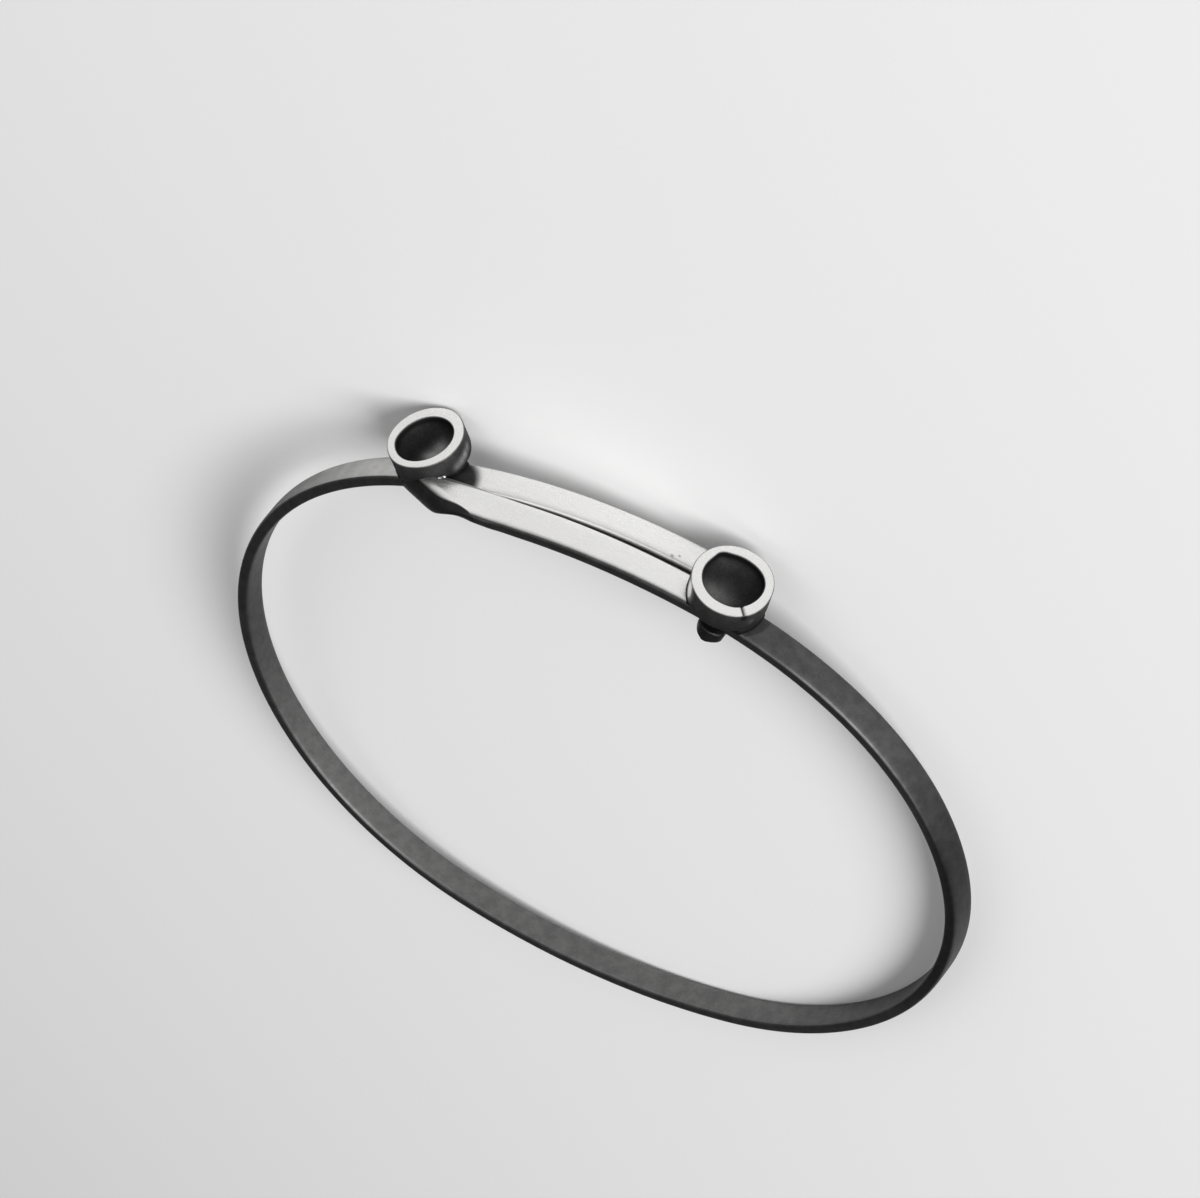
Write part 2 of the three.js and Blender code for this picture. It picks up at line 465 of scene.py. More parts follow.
    def slant(self, end: End, arc: Field) -> Field:
        """Slant of a cross row near a fold, so that through the fold it runs along it.

        Args:
            end: End of the strip that the fold is at.
            arc: Arc length along the strip.

        Returns:
            The row's shift along the strip for each unit across it.
        """
        beyond = self.past_fold(end, arc)
        nearing = (beyond / self.numbers["Slant Run"] + 1.0).eased()
        leaving = ((beyond - self.size_at(end, "Bend")) / self.size_at(end, "Tail")).within(0.0, 1.0)
        angle = self.size_at(end, "Angle")
        return nearing * (-leaving + 1.0) * (angle.cosine() / angle.sine())

    def rolled(self, end: End, place: Place) -> Place:
        """Rolls a place of the flat strip round a fold.

        Args:
            end: End of the strip that the fold is at.
            place: Arc length, height and depth below the outer face.

        Returns:
            The same three numbers after half a turn of cylinder and a flat stretch below.
        """
        arc, height, depth = place
        heading = float(end.value)
        fold_arc = self.size_at(end, "Fold Arc")
        fold_height = self.size_at(end, "Fold Height")
        radius = self.size_at(end, "Fold Radius")
        angle = self.size_at(end, "Angle")
        middle = self.numbers["Thickness"] * 0.5
        half_turn = radius * math.pi
        across = (angle.sine() * heading, angle.cosine() * heading)
        along = (angle.cosine() * heading, angle.sine() * -heading)
        ahead = arc - fold_arc
        aside = height - fold_height
        past = ahead * across[0] + aside * across[1]
        beside = ahead * along[0] + aside * along[1]
        turn = past.within(0.0, half_turn) / radius
        reach = radius + middle - depth
        out = reach * turn.sine() + past.at_most(0.0) - (past - half_turn).at_least(0.0)
        return (
            fold_arc + beside * along[0] + out * across[0],
            fold_height + beside * along[1] + out * across[1],
            middle + radius - reach * turn.cosine(),
        )

    def hammered(self, travel: Field, aside: Field) -> Field:
        """Spreads the left end to both sides.

        Args:
            travel: Arc length along the strip.
            aside: Distance from the centre line, positive towards the neighbour of the left end.

        Returns:
            The distance from the centre line after the hammering.
        """
        near = (self.past_fold(End.LEFT, travel) / self.numbers["Flare Run"] + 1.0).eased()
        near = near / (self.numbers["Width"] * 0.5)
        towards = aside.at_least(0.0) * near * self.numbers["Flare"]
        away = aside.at_most(0.0) * near * self.numbers["Flare Away"]
        return aside + towards + away

    def fading(self, name: str, distance: Field) -> Field:
        """A size that dies away smoothly over the run that goes with it."""
        return (-(distance / self.numbers[f"{name} Run"]).eased() + 1.0) * self.numbers[name]

    def sprung(self, travel: Field, place: Place) -> Place:
        """Turns, lifts and leans the strip a little, as springy strip does.

        Args:
            travel: Arc length along the strip, before any fold.
            place: Arc length, height and depth below the outer face.

        Returns:
            The same three numbers after the turn, the lift and the lean.
        """
        arc, height, depth = place
        middle = self.numbers["Thickness"] * 0.5
        left = (-self.past_fold(End.LEFT, travel)).at_least(0.0)
        right = (-self.past_fold(End.RIGHT, travel)).at_least(0.0)
        rise = ((-travel - self.numbers["Swell From"]) / self.numbers["Swell Rise"]).eased()
        fall = ((-travel - self.numbers["Swell Until"]) / self.numbers["Swell Fall"]).eased()
        swell = rise * (-fall + 1.0)
        run = self.numbers["Twist Run"]
        ends = (right / run).eased() - (left / run).eased()
        angle = ends * self.numbers["Twist"] + swell * self.numbers["Side Turn"]
        centre = self.centre_line(travel)
        aside = height - centre
        below = depth - middle
        curled = (-(left / self.numbers["Curl Run"]) + 1.0).at_least(0.0)
        raised = self.fading("Lift", left) + curled * curled * self.numbers["Curl"]
        raised = raised + swell * self.numbers["Side Swell"]
        return (
            arc,
            centre + aside * angle.cosine() - below * angle.sine() - self.fading("Slide", left),
            middle + below * angle.cosine() + aside * angle.sine() - raised,
        )

    def on_oval(self, place: Place) -> Place:
        """Wraps a place of the flat strip round the oval.

        Args:
            place: Arc length, height and depth below the outer face.

        Returns:
            X, Y and Z on the level bangle.
        """
        arc, height, depth = place
        perimeter = self.numbers["Perimeter"]
        front = self.numbers["Front Radius"]
        side = self.numbers["Side Radius"]
        front_arc = self.numbers["Front Arc"]
        side_arc = self.numbers["Side Arc"]
        wrapped = arc - (arc / perimeter).math("ROUND") * perimeter
        run = wrapped.math("ABSOLUTE")
        first = run.at_most(front_arc) / front
        second = first + (run - front_arc).within(0.0, side_arc) / side
        third = second + (run - front_arc - side_arc).at_least(0.0) / front
        drop = front - self.numbers["Half Depth"]
        x = first.sine() * front + (second.sine() - first.sine()) * side
        x = x + (third.sine() - second.sine()) * front - third.sine() * depth
        y = first.cosine() * front + (second.cosine() - first.cosine()) * side
        y = y + (third.cosine() - second.cosine()) * front - third.cosine() * depth
        return x * wrapped.math("SIGN"), drop - y, height

    def bent(self, x: Field, y: Field, z: Field) -> tuple[Place, Place]:
        """Bends a place on a round bar of radius 1 and length 1 into the strip.

        Args:
            x: The place's X, which becomes the distance across the strip.
            y: Its Y, which becomes the distance through the strip.
            z: Its Z, which becomes the distance along the strip.

        Returns:
            X, Y and Z on the level bangle, and then the arc length, the distance from the centre
            line and the share of the half thickness that the place had on the flat strip.
        """
        power = self.numbers["Softness"].math("POWER", -1.0) * 2.0
        across = x.math("SIGN") * x.math("ABSOLUTE").math("POWER", power)
        through = y.math("SIGN") * y.math("ABSOLUTE").math("POWER", power)
        first, last = End
        start = self.size_at(first, "Fold Arc")
        start = start + self.size_at(first, "Bend") + self.size_at(first, "Tail")
        stop = self.size_at(last, "Fold Arc")
        stop = stop - self.size_at(last, "Bend") - self.size_at(last, "Tail")
        travel = start + (stop - start) * (z + 0.5)
        aside = self.hammered(travel, self.half_width(travel) * across)
        slant = self.slant(first, travel) + self.slant(last, travel)
        middle = self.numbers["Thickness"] * 0.5
        place = (travel + aside * slant, self.centre_line(travel) - aside, middle - through * middle)
        place = self.rolled(last, self.rolled(first, place))
        return self.on_oval(self.sprung(travel, place)), (travel, aside, through)

    def tree(self, finish: bpy.types.Material) -> bpy.types.NodeTree:
        """Builds the Geometry Nodes tree that bends a plain bar into the strip.

        Args:
            finish: Material of the strip.

        Returns:
            The finished tree.
        """
        tree = bpy.data.node_groups.new("Bent Strip", "GeometryNodeTree")
        tree.interface.new_socket("Geometry", in_out="OUTPUT", socket_type="NodeSocketGeometry")
        for name, value in self.sizes().items():
            socket = tree.interface.new_socket(name, in_out="INPUT", socket_type="NodeSocketFloat")
            socket.default_value = value
        given = tree.nodes.new("NodeGroupInput")
        self.numbers = {name: Field(tree, given.outputs[name]) for name in self.sizes()}

        bar = tree.nodes.new("GeometryNodeMeshCylinder")
        bar.fill_type = "NGON"
        bar.inputs["Vertices"].default_value = self.section.sides
        bar.inputs["Side Segments"].default_value = self.rows
        bar.inputs["Radius"].default_value = 1.0
        bar.inputs["Depth"].default_value = 1.0
        position = tree.nodes.new("GeometryNodeInputPosition")
        split = tree.nodes.new("ShaderNodeSeparateXYZ")
        tree.links.new(position.outputs[0], split.inputs[0])
        vectors = []
        for numbers in self.bent(*(Field(tree, output) for output in split.outputs)):
            joined = tree.nodes.new("ShaderNodeCombineXYZ")
            for number, socket in zip(numbers, joined.inputs):
                tree.links.new(number.socket, socket)
            vectors.append(joined.outputs[0])

        store = tree.nodes.new("GeometryNodeStoreNamedAttribute")
        store.data_type = "FLOAT_VECTOR"
        store.inputs["Name"].default_value = STRIP_ATTRIBUTE
        move = tree.nodes.new("GeometryNodeSetPosition")
        smooth = tree.nodes.new("GeometryNodeSetShadeSmooth")
        realize = tree.nodes.new("GeometryNodeRealizeInstances")
        dress = tree.nodes.new("GeometryNodeSetMaterial")
        dress.inputs["Material"].default_value = finish
        tree.links.new(vectors[0], move.inputs["Position"])
        tree.links.new(vectors[1], store.inputs["Value"])
        geometry = bar.outputs["Mesh"]
        for node in (store, move, smooth, realize, dress):
            tree.links.new(geometry, node.inputs["Geometry"])
            geometry = node.outputs["Geometry"]
        tree.links.new(geometry, tree.nodes.new("NodeGroupOutput").inputs[0])
        return tree

    def build(self, finish: bpy.types.Material, attitude: Attitude) -> bpy.types.Object:
        """Makes the strip as a plain mesh in the frame.

        Args:
            finish: Material of the strip.
            attitude: How the bangle lies in the frame.

        Returns:
            The strip.
        """
        seed = bpy.data.objects.new("strip_seed", bpy.data.meshes.new("strip_seed"))
        bpy.context.scene.collection.objects.link(seed)
        modifier = seed.modifiers.new("Bend", "NODES")
        modifier.node_group = self.tree(finish)
        sizes = self.sizes()
        for item in modifier.node_group.interface.items_tree:
            if item.item_type == "SOCKET" and item.in_out == "INPUT":
                modifier[item.identifier] = sizes[item.name]
        graph = bpy.context.evaluated_depsgraph_get()
        mesh = bpy.data.meshes.new_from_object(seed.evaluated_get(graph), depsgraph=graph)
        bpy.data.objects.remove(seed)
        mesh.name = "strip"
        mesh.transform(attitude.to_frame)
        return placed_piece("strip", mesh, finish)


# ---- meshes made ring by ring -------------------------------------------------------------


@dataclass
class Ring:
    """One ring of a turned shape.

    Attributes:
        points: Its points, in order round the axis.
        soot: How blackened it is at each point, from 0 to 1, with painted highlights taken out and
            painted shade on the solder bed put in.
    """

    points: list[Vector]
    soot: list[float]


def lofted(name: str, rings: list[Ring], to_frame: Matrix) -> bpy.types.Mesh:
    """Joins rings into one closed skin, with a point at each end.

    Args:
        name: Name of the mesh.
        rings: Rings of the same number of points.
        to_frame: Matrix that places the mesh.

    Returns:
        The closed mesh, facing out.
    """
    shell = bmesh.new()
    soot = shell.verts.layers.float.new(SOOT_AND_PAINTED_LIGHT_ATTRIBUTE)
    rows = []
    for ring in rings:
        row = [shell.verts.new(point) for point in ring.points]
        for vertex, amount in zip(row, ring.soot):
            vertex[soot] = amount
        rows.append(row)
    count = len(rows[0])
    for low, high in zip(rows, rows[1:]):
        for i in range(count):
            j = (i + 1) % count
            shell.faces.new((low[i], low[j], high[j], high[i]))
    for row, ring in ((rows[0], rings[0]), (rows[-1], rings[-1])):
        pole = shell.verts.new(sum(ring.points, Vector()) / count)
        pole[soot] = sum(ring.soot) / count
        for i in range(count):
            shell.faces.new((row[i], row[(i + 1) % count], pole))
    bmesh.ops.recalc_face_normals(shell, faces=shell.faces)
    mesh = bpy.data.meshes.new(name)
    shell.to_mesh(mesh)
    shell.free()
    mesh.transform(to_frame)
    return mesh


def polar_point(angle: float, reach: float, height: float) -> Vector:
    """Point round a cup's axis, by its angle in radians, distance from the axis and height."""
    return Vector((reach * math.cos(angle), height, reach * math.sin(angle)))


def turn_between(degrees: float, angle: float) -> float:
    """Shortest turn from an angle in degrees to one in radians, from -pi to pi."""
    return (angle - math.radians(degrees) + math.pi) % (2 * math.pi) - math.pi


def blend(first: float, second: float, share: float) -> float:
    """Number that lies a share of the way from the first to the second."""
    return first + (second - first) * share


# ---- the cups -----------------------------------------------------------------------------


@dataclass(frozen=True)
class Seam:
    """An open seam in a cup's rim.

    Attributes:
        angle: Place round the cup, in degrees.
        width: Half width of the notch.
        depth: Depth of the notch in the rim.
        run: How far the seam shows down the outer wall.
    """

    angle: float = -132.0
    width: float = 0.12
    depth: float = 0.16
    run: float = 0.5

    def at(self, angle: float, radius: float, below: float) -> float:
        """How open the seam is, from 1 at the rim to 0 at its end and on either side.

        Args:
            angle: Place round the cup, in radians.
            radius: Radius of the cup.
            below: Distance below the rim.

        Returns:
            How open it is there.
        """
        across = math.exp(-((turn_between(self.angle, angle) * radius / self.width) ** 2))
        return across * max(0.0, 1.0 - below / self.run)


@dataclass(frozen=True)
class Swell:
    """A place where a hand-made ring stands out of round.

    Attributes:
        angle: Place round the cup, in degrees.
        spread: Half width of the place, in degrees.
        amount: How far the ring stands out there, or in if it is negative.
    """

    angle: float
    spread: float
    amount: float

    def at(self, angle: float) -> float:
        """How far the ring stands out at an angle in radians."""
        away = turn_between(self.angle, angle) / math.radians(self.spread)
        return self.amount * math.exp(-(away**2))


@dataclass(frozen=True)
class Rub:
    """A soft spot on a cup that is more or less blackened than the rest. The spots here are painted
    light: lit patches in the dish and the strip's reflection low on the wall.

    Attributes:
        angle: Place round the cup, in degrees.
        reach: Distance from the cup's axis.
        height: Height above the strip's face.
        size: Radius of the spot.
        amount: Blackening that it adds, or takes away if it is negative.
    """

    angle: float
    reach: float
    height: float
    size: float
    amount: float

    def at(self, place: Vector) -> float:
        """Blackening that the spot adds at a place in the cup's frame."""
        centre = polar_point(math.radians(self.angle), self.reach, self.height)
        return self.amount * math.exp(-(((place - centre).length / self.size) ** 2))


@dataclass
class Cup:
    """A short open tube with a dished floor, soldered onto the strip.

    Attributes:
        name: Name of the piece.
        at: Place along the front.
        strand: Height of the strand that carries it.
        aside: How far the cup sits off that strand's centre line, towards +Z.
        lean: Tilt about the strip, in degrees.
        turn: Tilt along the strip, in degrees.
        bore_shift: How far the bore is off centre, along the level bangle's X and Z.
        seed: Seed of the small unevenness.
        outside: Where the wall is out of round.
        inside: Where the bore is out of round.
        rubs: Spots that are more or less blackened, which here are painted highlights and reflections.
        seam: Open seam in the rim, if it has one.
        radius: Outer radius.
        height: Height of the tube.
        bore: Radius of the bore.
        wall: Depth of the straight part of the bore.
        floor: Thickness at the lowest point of the dish.
        edge: Radius of the rim's two rounded edges.
        lifted: Height of the tube's foot above the strip's face.
        foot_inset: How far the foot is drawn in from the wall.
        uneven: Greatest small unevenness of the wall and the bore.
        uneven_top: Greatest small unevenness of the rim's height.
        wall_soot: Blackening of the wall's foot and of its top.
        edge_soot: Blackening of the wall's side and of the bore's side of the rim's edges.
        edge_fade: Power by which it fades over an edge.
        sides: Points round each ring.
    """

    name: str
    at: float
    strand: float
    aside: float
    lean: float
    turn: float
    bore_shift: tuple[float, float]
    seed: int
    outside: tuple[Swell, ...] = ()
    inside: tuple[Swell, ...] = ()
    rubs: tuple[Rub, ...] = ()
    seam: Seam | None = None
    radius: float = 2.95
    height: float = 1.76
    bore: float = 2.16
    wall: float = 0.45
    floor: float = 0.4
    edge: float = 0.08
    lifted: float = 0.14
    foot_inset: float = 0.09
    uneven: float = 0.012
    uneven_top: float = 0.03
    wall_soot: tuple[float, float] = (0.985, 0.95)
    edge_soot: tuple[float, float] = (0.95, 0.97)
    edge_fade: float = 0.15
    sides: int = 240

    @property
    def top(self) -> float:
        """Height of the rim above the strip's face."""
        return self.lifted + self.height

    def seat(self, oval: Oval) -> Matrix:
        """Finds the cup's frame: X along the strip and Y outwards along the cup's axis.

        Args:
            oval: Oval of the strip's outer face.

        Returns:
            Matrix from the cup's frame to the level bangle.
        """
        point, normal = oval.front_place(self.at)
        down = Vector((0.0, 0.0, -1.0))
        basis = Matrix((normal.cross(down), normal, down)).transposed().to_4x4()
        basis.translation = point + Vector((0.0, 0.0, self.strand))
        lean = Matrix.Rotation(math.radians(-self.lean), 4, "X")
        turn = Matrix.Rotation(math.radians(-self.turn), 4, "Z")
        return basis @ lean @ turn

    def rim_point(self, oval: Oval) -> Vector:
        """Point in the middle of the rim on the cup's +X side, on the level bangle."""
        return self.seat(oval) @ Vector(((self.radius + self.bore) / 2, self.top, -self.aside))

    def wobble(self, angle: float, scale: float, channel: float) -> float:
        """Small smooth unevenness round the cup, from -scale to scale."""
        spot = Vector((math.cos(angle) * 1.1, math.sin(angle) * 1.1, self.seed + channel))
        return scale * noise.noise(spot)

    def ring(self, radius: float, height: float, inner: float, soot: float) -> Ring:
        """Makes one ring of the cup.

        Args:
            radius: Its radius.
            height: Its height above the strip's face.
            inner: How far it follows the bore's own centre and outline, from 0 to 1.
            soot: How blackened it is.

        Returns:
            The ring, in the cup's frame.
        """
        ring = Ring([], [])
        share = min(1.0, radius / self.bore)
        bore_x, bore_z = self.bore_shift
        for i in range(self.sides):
            angle = 2 * math.pi * i / self.sides
            outside = sum(swell.at(angle) for swell in self.outside)
            inside = sum(swell.at(angle) for swell in self.inside)
            uneven = outside * (1 - inner) + inside * inner
            uneven += self.wobble(angle, self.uneven, 7.0 * inner)
            place = polar_point(angle, radius + share * uneven, height)
            rise = share * self.wobble(angle, self.uneven_top, 3.0)
            # Painted highlights take blackening away here.
            amount = soot + sum(highlight.at(place) for highlight in self.rubs)
            if self.seam is not None and radius > self.bore - self.edge:
                opened = self.seam.at(angle, self.radius, self.top - height)
                rise -= self.seam.depth * opened
                amount += opened
            ring.points.append(place + Vector((inner * bore_x, rise, -inner * bore_z - self.aside)))
            ring.soot.append(max(0.0, min(1.0, amount)))
        return ring

    def outer_rings(self) -> list[Ring]:
        """Makes the rings of the foot and the outer wall.

        Returns:
            The rings, from under the foot upwards.
        """
        under = self.lifted - 0.02
        foot = [
            self.ring(self.radius / 2, under, 0.0, 0.97),
            self.ring(self.radius - self.foot_inset, under, 0.0, 0.97),
            self.ring(self.radius - 0.02, self.lifted + 0.03, 0.0, 0.97),
        ]
        steps = 11
        for step in range(steps):
            share = step / (steps - 1)
            height = blend(self.lifted + 0.12, self.top - self.edge - 0.02, share)
            foot.append(self.ring(self.radius, height, 0.0, blend(*self.wall_soot, share)))
        return foot

    def rim_rings(self) -> list[Ring]:
        """Makes the rings of the rim.

        Returns:
            The rings, over the outer edge, across the flat rim and over the bore's edge.
        """
        steps = 6
        quarter = [math.radians(90 * step / (steps - 1)) for step in range(steps)]
        rings = []
        for angle in quarter:
            radius = self.radius - self.edge * (1 - math.cos(angle))
            fade = 1 - math.sin(angle)
            soot = self.edge_soot[0] * fade**self.edge_fade
            rings.append(self.ring(radius, self.top - self.edge * fade, 0.0, soot))
        for share in (0.2, 0.5, 0.8):
            radius = blend(self.radius - self.edge, self.bore + self.edge, share)
            rings.append(self.ring(radius, self.top + 0.01, share, 0.0))
        for angle in quarter:
            radius = self.bore + self.edge * (1 - math.sin(angle))
            fade = 1 - math.cos(angle)
            soot = self.edge_soot[1] * fade**self.edge_fade
            rings.append(self.ring(radius, self.top - self.edge * fade, 1.0, soot))
        return rings

    def bore_rings(self) -> list[Ring]:
        """Makes the rings of the bore and the dish.

        Returns:
            The rings, from the rim down to the dish's lowest point.
        """
        straight, round_steps = 3, 18
        rings = []
        for step in range(1, straight + 1):
            height = self.top - blend(self.edge, self.wall, step / straight)
            rings.append(self.ring(self.bore, height, 1.0, 1.0))
        depth = self.height - self.wall - self.floor
        for step in range(1, round_steps):
            angle = math.radians(90 - 90 * step / round_steps)
            height = self.lifted + self.floor + depth * (1 - math.cos(angle))
            rings.append(self.ring(self.bore * math.sin(angle), height, 1.0, 0.99))
        return rings

    def build(self, oval: Oval, finish: bpy.types.Material, attitude: Attitude) -> bpy.types.Object:
        """Makes the cup as one closed mesh in the frame.

        Args:
            oval: Oval of the strip's outer face.
            finish: Material of the cup.
            attitude: How the bangle lies in the frame.

        Returns:
            The cup.
        """
        rings = self.outer_rings() + self.rim_rings() + self.bore_rings()
        mesh = lofted(self.name, rings, attitude.to_frame @ self.seat(oval))
        return placed_piece(self.name, mesh, finish)


@dataclass(frozen=True)
class Bead:
    """A bead of solder at a cup's foot.

    Attributes:
        angle: Place round the cup, in degrees.
        reach: Distance from the cup's axis.
        height: Height above the strip's face.
        radius: Radius of the bead.
    """

    angle: float
    reach: float
    height: float
    radius: float

    def rings(self, aside: float) -> list[Ring]:
        """Makes the rings of the bead, which is a lumpy, flattened ball.

        Args:
            aside: How far the cup sits off the strand's centre line.

        Returns:
            The rings, in the cup's frame.
        """
        rows, sides = 10, 24
        centre = polar_point(math.radians(self.angle), self.reach, self.height)
        centre.z -= aside
        rings = []
        for step in range(1, rows):
            polar = math.pi * step / rows
            points = []
            for i in range(sides):
                around = 2 * math.pi * i / sides
                direction = polar_point(around, math.sin(polar), math.cos(polar))
                lump = self.radius * (1 + 0.2 * noise.noise(direction * 1.4 + centre))
                points.append(centre + direction * Vector((1.3, 0.8, 1.0)) * lump)
            rings.append(Ring(points, [0.0] * sides))
        return rings


@dataclass
class SolderBed:
    """Solder that joins a cup to its own strand, with a few beads at the cup's foot.

    Attributes:
        cup: The cup it carries.
        reach: Half width of strand that the solder covers.
        beads: Beads at the cup's foot.
        flare: How far the bed spreads past the cup.
        profile: Share of the flare and height of each ring below the cup's foot.
        sides: Points round each ring.
    """

    cup: Cup
    reach: float
    beads: tuple[Bead, ...] = ()
    flare: float = 0.05
    profile: tuple[tuple[float, float], ...] = ((1.0, -0.34), (1.0, -0.06), (0.45, 0.03), (0.1, 0.112))
    sides: int = 96

    def outline(self, radius: float, height: float) -> Ring:
        """Makes one ring of the bed: a circle cut straight where the strand's edges are.

        Args:
            radius: Radius of the circle.
            height: Height above the strip's face.

        Returns:
            The ring, in the cup's frame.
        """
        points = []
        for i in range(self.sides):
            angle = 2 * math.pi * i / self.sides
            lump = noise.noise(Vector((math.cos(angle), math.sin(angle), 4.0)) * 2)
            uneven = radius * (1 + 0.012 * lump) + sum(swell.at(angle) for swell in self.cup.outside)
            point = polar_point(angle, uneven, height)
            point.z = max(-self.reach, min(self.reach, point.z - self.cup.aside))
            points.append(point)
        # The bed is fully black: painted shade in the crease at the cup's foot.
        return Ring(points, [1.0] * self.sides)

    def build(
        self, oval: Oval, finish: bpy.types.Material, attitude: Attitude
    ) -> list[bpy.types.Object]:
        """Makes the bed and its beads in the frame.

        Args:
            oval: Oval of the strip's outer face.
            finish: Material of the solder.
            attitude: How the bangle lies in the frame.

        Returns:
            The bed and the beads.
        """
        radius = self.cup.radius
        rings = [self.outline(radius + self.flare * share, height) for share, height in self.profile]
        rings.append(self.outline(radius - 0.1, self.cup.lifted + 0.04))
        name = self.cup.name.replace("cup", "solder")
        shapes = {name: rings}
        for number, bead in enumerate(self.beads, start=1):
            shapes[f"{name}_bead_{number}"] = bead.rings(self.cup.aside)
        to_frame = attitude.to_frame @ self.cup.seat(oval)
        return [
            placed_piece(label, lofted(label, shape, to_frame), finish)
            for label, shape in shapes.items()
        ]


# ---- finishes -----------------------------------------------------------------------------


class NodeMaker:
    """Adds nodes to a material or a node group in short calls."""

    def __init__(self, tree: bpy.types.NodeTree) -> None:
        """Keeps the tree that the nodes go into."""
        self.tree = tree

    def node(self, kind: str, **settings: object) -> bpy.types.Node:
        """Adds a node.

        Args:
            kind: Type of the node.
            **settings: Properties to set on it.

        Returns:
            The node.
        """
        node = self.tree.nodes.new(kind)
        for name, value in settings.items():
            setattr(node, name, value)
        return node

    def link(self, source: Socket, target: Socket) -> None:
        """Joins two sockets."""
        self.tree.links.new(source, target)

    def math(self, operation: str, *operands: Socket | float) -> Socket:
        """Adds a Math node.

        Args:
            operation: Name of the node's operation.
            *operands: Sockets and numbers that it takes.

        Returns:
            The node's result.
        """
        node = self.node("ShaderNodeMath", operation=operation)
        for value, socket in zip(operands, node.inputs):
            if isinstance(value, (int, float)):
                socket.default_value = value
            else:
                self.link(value, socket)
        return node.outputs[0]

    def noise(self, vector: Socket, scale: float, detail: float, roughness: float) -> Socket:
        """Adds a Noise Texture.

        Args:
            vector: Place at which it is read.
            scale: Its scale.
            detail: Its number of finer layers.
            roughness: Strength of the finer layers.

        Returns:
            The noise, from 0 to 1.
        """
        node = self.node("ShaderNodeTexNoise")
        node.inputs["Scale"].default_value = scale
        node.inputs["Detail"].default_value = detail
        node.inputs["Roughness"].default_value = roughness
        self.link(vector, node.inputs["Vector"])
        return node.outputs["Fac"]

    def remap(self, value: Socket, source: tuple[float, float], target: tuple[float, float]) -> Socket:
        """Maps a value smoothly from one range to another.

        Args:
            value: The value.
            source: Range that it comes from.
            target: Range that it goes to.

        Returns:
            The mapped value, held within the second range.
        """
        node = self.node("ShaderNodeMapRange", interpolation_type="SMOOTHSTEP")
        self.link(value, node.inputs["Value"])
        for name, number in zip(("From Min", "From Max", "To Min", "To Max"), (*source, *target)):
            node.inputs[name].default_value = number
        return node.outputs["Result"]


def tarnish_group() -> bpy.types.NodeTree:
    """Builds the node group that greys silver in soft uneven patches.

    Returns:
        A group that takes Vector, Amount, Patch Scale and Bright and Dark colours, and puts out
        Color, Mask and Fine, a small-scale value for roughness and bumps.
    """
    tree = bpy.data.node_groups.new("Silver Tarnish", "ShaderNodeTree")
    face = tree.interface
    face.new_socket("Vector", in_out="INPUT", socket_type="NodeSocketVector")
    for name in ("Amount", "Patch Scale"):
        face.new_socket(name, in_out="INPUT", socket_type="NodeSocketFloat")
    for name in ("Bright", "Dark"):
        face.new_socket(name, in_out="INPUT", socket_type="NodeSocketColor")
    face.new_socket("Color", in_out="OUTPUT", socket_type="NodeSocketColor")
    for name in ("Mask", "Fine"):
        face.new_socket(name, in_out="OUTPUT", socket_type="NodeSocketFloat")
    make = NodeMaker(tree)
    given = make.node("NodeGroupInput")
    result = make.node("NodeGroupOutput")
    amount = given.outputs["Amount"]
    scaled = make.node("ShaderNodeVectorMath", operation="SCALE")
    make.link(given.outputs["Vector"], scaled.inputs[0])
    make.link(given.outputs["Patch Scale"], scaled.inputs["Scale"])
    patches = make.noise(scaled.outputs[0], 1.0, 5.0, 0.6)
    fine = make.noise(scaled.outputs[0], 7.0, 3.0, 0.6)
    blotch = make.remap(patches, (0.3, 0.7), (-0.6, 0.6))
    grain = make.remap(fine, (0.25, 0.75), (-0.4, 0.4))
    clean = make.math("SUBTRACT", 1.03, amount)
    depth = make.math("MULTIPLY", clean, make.math("MULTIPLY_ADD", amount, 0.22, 0.03))
    uneven = make.math("MULTIPLY", make.math("ADD", blotch, grain), depth)
    mask = make.math("ADD", amount, uneven)
    held = make.math("MINIMUM", make.math("MAXIMUM", mask, 0.0), 1.0)
    colour = make.node("ShaderNodeMix", data_type="RGBA")
    colour_inputs = (colour.inputs[0], colour.inputs[6], colour.inputs[7])
    for source, target in zip((held, given.outputs["Bright"], given.outputs["Dark"]), colour_inputs):
        make.link(source, target)
    for source, target in zip((colour.outputs[2], held, fine), result.inputs):
        make.link(source, target)
    return tree


